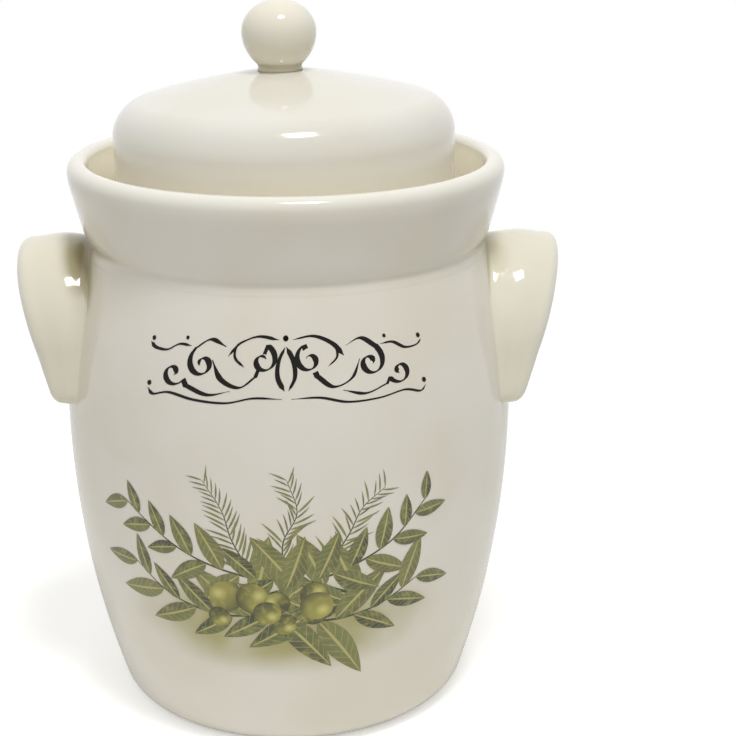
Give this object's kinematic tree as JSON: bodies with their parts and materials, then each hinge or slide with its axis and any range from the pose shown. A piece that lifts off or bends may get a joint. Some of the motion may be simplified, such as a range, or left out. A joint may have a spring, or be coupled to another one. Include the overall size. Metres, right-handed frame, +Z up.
{
  "type": "water seal pickle jar",
  "caption": "Barrel shaped stoneware fermenting crock with a flared water channel round its neck, two ear handles and a knobbed lid that stands in the channel.",
  "frame": {"origin": "on the jar's axis, on the face that its foot rests on", "axes": "+Z up along the jar's axis, the ear handles along X, the front towards -Y"},
  "size_m": [0.2542, 0.21, 0.3303],
  "materials": {
    "cream_glaze": "gloss",
    "bare_stoneware": "matte"
  },
  "bodies": {
    "crock": {"jar_base": "cream_glaze", "jar_body": "cream_glaze", "throat_ring": "cream_glaze", "channel_collar": "cream_glaze", "handle_left": "cream_glaze", "handle_right": "cream_glaze"},
    "cover": {"lid": "cream_glaze", "lid_knob": "cream_glaze"},
    "stone_left": {"weight_half_left": "bare_stoneware"},
    "stone_right": {"weight_half_right": "bare_stoneware"}
  },
  "joints": [
    {"name": "lid_lift", "type": "slide", "parent": "crock", "child": "cover", "axis": [0, 0, 1], "range_m": [0, 0.15]},
    {"name": "stone_left_lift", "type": "slide", "parent": "crock", "child": "stone_left", "axis": [0, 0, 1], "range_m": [0, 0.18]},
    {"name": "stone_right_lift", "type": "slide", "parent": "crock", "child": "stone_right", "axis": [0, 0, 1], "range_m": [0, 0.18]}
  ]
}
